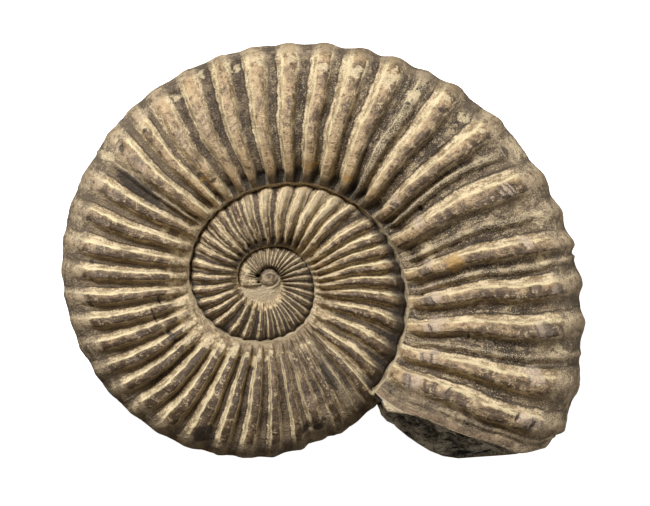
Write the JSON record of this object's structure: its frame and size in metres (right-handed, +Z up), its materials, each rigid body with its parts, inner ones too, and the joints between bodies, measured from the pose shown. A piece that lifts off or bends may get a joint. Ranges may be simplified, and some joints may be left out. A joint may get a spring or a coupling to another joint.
{
  "type": "ammonite fossil",
  "caption": "Fossil ammonite shell, a flat open coil with strong ribs and dark rock in its broken mouth, lying on one flank.",
  "frame": {"origin": "centre of the plan outline's bounding box, on the surface that the fossil lies on", "axes": "+Z up, out of the upper flank; +X along the longest extent, towards the body chamber; the mouth is towards +X and -Y"},
  "size_m": [0.0994, 0.0794, 0.0283],
  "materials": {
    "fossil_stone": "brown fossil shell, semi-matt on the rib crests, with pale dusty rock on the rib sides and dark rock in the mouth"
  },
  "bodies": {
    "root": {"ammonite": "fossil_stone"}
  },
  "joints": []
}
